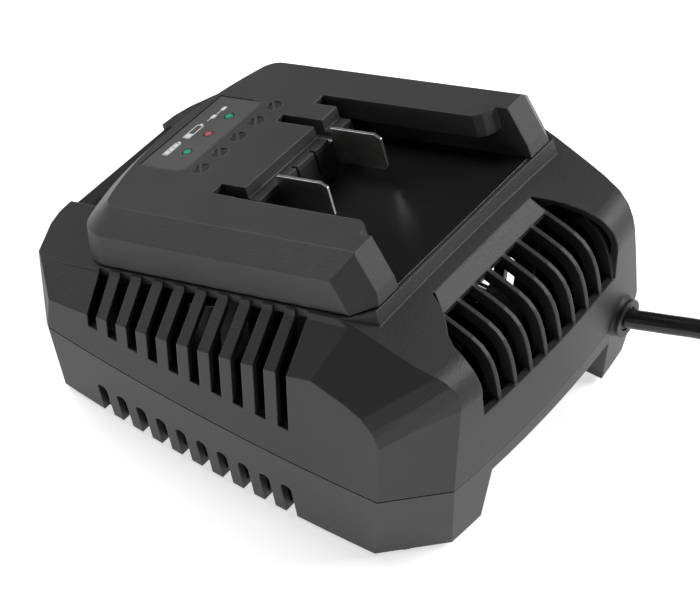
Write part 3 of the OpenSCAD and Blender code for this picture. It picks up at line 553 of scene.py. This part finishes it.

# ---------------------------------------------------------------------------
# Battery saddle: a separate moulding of the same ABS, given a lighter colour than
# the housing as painted light on its top. Outside it has the grain of the housing;
# the channel floor is polished by the core pins and by batteries sliding over it, so
# it is smooth and shows what stands on it, and its colour is darkened there as painted shade.
deck_tilt = math.radians(17.68)
deck_start = Vector((0.01119, 0.0, 0.091979))
polish_and_shade_from, polish_and_shade_full = 0.0166, 0.0167          # depths below the deck: the edge of the channel floor


def on_deck(s, y, h):
    """A point given along the deck, across it and above it, in metres."""
    c, d = math.cos(deck_tilt), math.sin(deck_tilt)
    return Vector((deck_start.x + s * c - h * d, y, deck_start.z + s * d + h * c))


def polished_and_shaded_channel(name, colour):
    """Grained plastic that turns smooth below the lips, on the channel floor, where painted shade darkens its
    colour.
    """
    m = moulded(name, colour, 0.5, 1900.0, 0.00023, 0.0006, 1.6)
    n, link = m.node_tree.nodes, m.node_tree.links.new
    shade = n["Principled BSDF"]
    place = n["Texture Coordinate"].outputs["Object"]
    height = n.new("ShaderNodeVectorMath")
    height.operation = "DOT_PRODUCT"
    height.inputs[1].default_value = (-math.sin(deck_tilt), 0.0, math.cos(deck_tilt))
    link(place, height.inputs[0])
    level = deck_start.z * math.cos(deck_tilt) - deck_start.x * math.sin(deck_tilt)
    floor = ranged(m, height.outputs["Value"], 0.0, 1.0, level - polish_and_shade_from, level - polish_and_shade_full)
    slid = n.new("ShaderNodeMapping")              # faint streaks along the battery's way
    slid.inputs["Scale"].default_value = (0.12, 1.0, 1.0)
    link(place, slid.inputs["Vector"])
    smooth_gloss = ranged(m, noise(m, slid.outputs["Vector"], 260.0, 4.0), 0.25, 0.33)
    pick = n.new("ShaderNodeMix")
    link(floor, pick.inputs["Factor"])
    link(shade.inputs["Roughness"].links[0].from_socket, pick.inputs["A"])
    link(smooth_gloss, pick.inputs["B"])
    link(pick.outputs["Result"], shade.inputs["Roughness"])
    tint = shade.inputs["Base Color"].links[0].from_socket
    # painted shade: the channel floor's colour is darkened towards near black
    link(blended(m, floor, tint, (0.009, 0.009, 0.009, 1)), shade.inputs["Base Color"])
    link(reckoned(m, "MULTIPLY_ADD", floor, -0.36, 0.4), n["Bump"].inputs["Strength"])
    return m


# painted light: twice the housing's colour, for the same ABS
dress("battery_saddle", polished_and_shaded_channel("saddle_abs", (0.037, 0.037, 0.038)))

# ---------------------------------------------------------------------------
# Terminals: a glass-filled block under the ledge, two nickel plated blades stamped
# from strip and two sprung signal contacts behind their slits.
# ---------------------------------------------------------------------------
dress("terminal_block", moulded("block_nylon", (0.014, 0.014, 0.015), 0.55, 1800.0, 0.0001, 0.0003, 0.8))
blade_nickel = plated("blade_nickel", (0.72, 0.715, 0.7), 0.33, 1500.0, (0.05, 1.0, 0.6), 0.0004)
dress("positive_blade", blade_nickel)
dress("negative_blade", blade_nickel)
dress("signal_contacts", plated("contact_bronze", (0.36, 0.27, 0.15), 0.34, 700.0, (0.1, 1.0, 1.0)))

# ---------------------------------------------------------------------------
# Status label: a satin grey printed film in a shallow recess. Its white signs are
# plain ones for full, charging and faulty battery; a light shows beside each.
# ---------------------------------------------------------------------------
dress("status_label", moulded("label_film", (0.1, 0.1, 0.101), 0.4, 1500.0, 0.00004, 0.0002))


def strip_of(points, half):
    """A printed line of even width through points given as (along, across)."""
    shapes = []
    for (s0, y0), (s1, y1) in zip(points, points[1:]):
        way = Vector((s1 - s0, y1 - y0)).normalized() * half
        shapes.append([(s0 - way.x + way.y, y0 - way.y - way.x), (s0 - way.x - way.y, y0 - way.y + way.x),
                       (s1 + way.x - way.y, y1 + way.y + way.x), (s1 + way.x + way.y, y1 + way.y - way.x)])
    return shapes


def block_of(s0, s1, y0, y1):
    """A printed rectangle."""
    return [[(s0, y0), (s1, y0), (s1, y1), (s0, y1)]]


signs = []
# full: a battery filled with three bars
signs += strip_of([(-66.0, -13.6), (-64.1, -13.6), (-64.1, -6.9), (-66.0, -6.9), (-66.0, -13.6)], 0.17)
signs += block_of(-65.5, -64.6, -6.7, -6.1)
for k in range(3):
    signs += block_of(-65.65, -64.45, -13.2 + 2.05 * k, -11.5 + 2.05 * k)
# charging: an empty battery with its first bar
signs += strip_of([(-65.9, -3.7), (-63.4, -3.7), (-63.4, 3.6), (-65.9, 3.6), (-65.9, -3.7)], 0.17)
signs += block_of(-65.2, -64.1, 3.8, 4.5)
signs += block_of(-65.6, -63.7, -3.4, -1.3)
# fault: a battery whose lead has come off
signs += strip_of([(-64.1, 6.5), (-63.9, 8.0)], 0.13)
signs += block_of(-64.5, -63.0, 8.0, 10.1)
signs += strip_of([(-63.7, 10.8), (-63.5, 12.1)], 0.16)
signs += block_of(-64.2, -62.8, 12.8, 15.0)


def laid(name, shapes, low, high, material):
    """Thin flat shapes on the label, given in mm as (along, across), from one height to another."""
    points, faces = [], []
    for shape in shapes:
        first, n = len(points), len(shape)
        for h in (low, high):
            points += [on_deck(s / 1000, y / 1000, h / 1000) for s, y in shape]
        faces += [tuple(first + i for i in range(n)), tuple(first + n + i for i in range(n))]
        faces += [(first + i, first + (i + 1) % n, first + n + (i + 1) % n, first + n + i) for i in range(n)]
    return piece(name, points, faces, material)


laid("label_signs", signs, -0.085, -0.06, moulded("white_ink", (0.95, 0.95, 0.95), 0.5, 1800.0, 0.00002))
# painted shadow: a dark strip at the film's front and far edges, where the recess wall throws its shade
painted_recess_shadow = moulded("painted_recess_shadow", (0.004, 0.004, 0.004), 0.85, 900.0, 0.00003)
# painted shadow: it reflects almost nothing
painted_recess_shadow.node_tree.nodes["Principled BSDF"].inputs["Specular IOR Level"].default_value = 0.05
laid("label_painted_shadow", block_of(-70.2, -69.75, -20.4, 20.45) + block_of(-69.75, -56.0, 20.08, 20.45), -0.38, -0.04,
     painted_recess_shadow)

# ---------------------------------------------------------------------------
# Status lights: tinted clear rods that carry the light of the lamps on the small
# board below up through the label.
# ---------------------------------------------------------------------------
lights_along = -0.0585                             # on the deck
glow_inner, glow_outer = 0.0006, 0.0016            # from the middle of a rod


def tinted_rod(name, colour, glow, across):
    """Tinted clear plastic over a lit lamp: brightest in the middle of its frosted end, dim at the rim."""
    m = moulded(name, colour, 0.3, 1600.0, 0.00006)
    n, link = m.node_tree.nodes, m.node_tree.links.new
    shade = n["Principled BSDF"]
    shade.inputs["Transmission Weight"].default_value = 0.35
    shade.inputs["Emission Strength"].default_value = 0.3
    off_centre = n.new("ShaderNodeVectorMath")
    off_centre.operation = "DISTANCE"
    off_centre.inputs[1].default_value = on_deck(lights_along, across, 0)
    link(n["Texture Coordinate"].outputs["Object"], off_centre.inputs[0])
    rim = ranged(m, off_centre.outputs["Value"], 0.0, 1.0, glow_inner, glow_outer)
    link(blended(m, rim, glow + (1,), [c * 0.15 for c in glow] + [1]), shade.inputs["Emission Color"])
    return m


dress("green_light_near", tinted_rod("lens_green_near", (0.05, 0.22, 0.15), (0.02, 0.75, 0.46), -0.0103))
dress("red_light", tinted_rod("lens_red", (0.28, 0.09, 0.11), (0.95, 0.2, 0.28), 0.0002))
dress("green_light_far", tinted_rod("lens_green_far", (0.05, 0.22, 0.15), (0.02, 0.75, 0.46), 0.0106))
dress("light_board", masked_board("light_board_mask", (0.012, 0.085, 0.035), 130.0))

# ---------------------------------------------------------------------------
# Screws: zinc plated self-tapping screws. Four long ones close the housing from
# below; short ones hold the saddle, the board and the cord clamp.
# ---------------------------------------------------------------------------
zinc = plated("screw_zinc", (0.62, 0.62, 0.64), 0.3, 600.0)
for node in ("housing_screws", "saddle_screws", "board_screws", "clamp_screws"):
    dress(node, zinc)

# ---------------------------------------------------------------------------
# Bench and light: a lit white bench top in a white studio. One large soft lamp
# stands behind the far rear corner, two over the front and a weak one beside.
# ---------------------------------------------------------------------------
bench_reach, bench_height = 6.0, -0.0003           # just under the feet
bench_top = bpy.data.meshes.new("bench")
bench_top.from_pydata([(x * bench_reach, y * bench_reach, bench_height) for x, y in
                       ((-1, -1), (1, -1), (1, 1), (-1, 1))], [], [(0, 1, 2, 3)])
bench = bpy.data.objects.new("bench", bench_top)
bpy.context.scene.collection.objects.link(bench)
white = bpy.data.materials.new("bench_white")
white.use_nodes = True
lit = white.node_tree.nodes["Principled BSDF"]
lit.inputs["Base Color"].default_value = (0.93, 0.93, 0.93, 1)
lit.inputs["Roughness"].default_value = 0.9
lit.inputs["Emission Color"].default_value = (1, 1, 1, 1)
lit.inputs["Emission Strength"].default_value = 0.66
bench_top.materials.append(white)

world = bpy.data.worlds.new("studio")
bpy.context.scene.world = world
world.use_nodes = True
far_wall = world.node_tree.nodes["Background"]
far_wall.inputs["Color"].default_value = (1, 1, 1, 1)
seen = world.node_tree.nodes.new("ShaderNodeLightPath")   # the walls look white but give little light
bright = world.node_tree.nodes.new("ShaderNodeMapRange")
bright.inputs["To Min"].default_value = 0.03
bright.inputs["To Max"].default_value = 1.0
world.node_tree.links.new(seen.outputs["Is Camera Ray"], bright.inputs["Value"])
world.node_tree.links.new(bright.outputs["Result"], far_wall.inputs["Strength"])
bpy.context.scene.view_settings.view_transform = "Standard"


lamp_away, lamp_across = 1.6, 0.8
lamp_aim = Vector((0, 0, 0.03))


def lamp(name, turn, rise, power):
    """A square soft lamp that looks at the charger from a turn round it and a rise above the bench."""
    light = bpy.data.lights.new(name, "AREA")
    light.shape = "SQUARE"
    light.size = lamp_across
    light.energy = power
    head = bpy.data.objects.new(name, light)
    bpy.context.scene.collection.objects.link(head)
    turn, rise = math.radians(turn), math.radians(rise)
    head.location = lamp_away * Vector((math.cos(rise) * math.cos(turn), math.cos(rise) * math.sin(turn),
                                        math.sin(rise)))
    head.rotation_mode = "QUATERNION"
    head.rotation_quaternion = (lamp_aim - head.location).to_track_quat("-Z", "Y")


lamp("far_corner_lamp", 45, 35, 20.0)
lamp("front_lamp", 180, 40, 7.0)
lamp("front_top_lamp", 180, 65, 7.0)
lamp("near_side_lamp", -90, 30, 1.3)
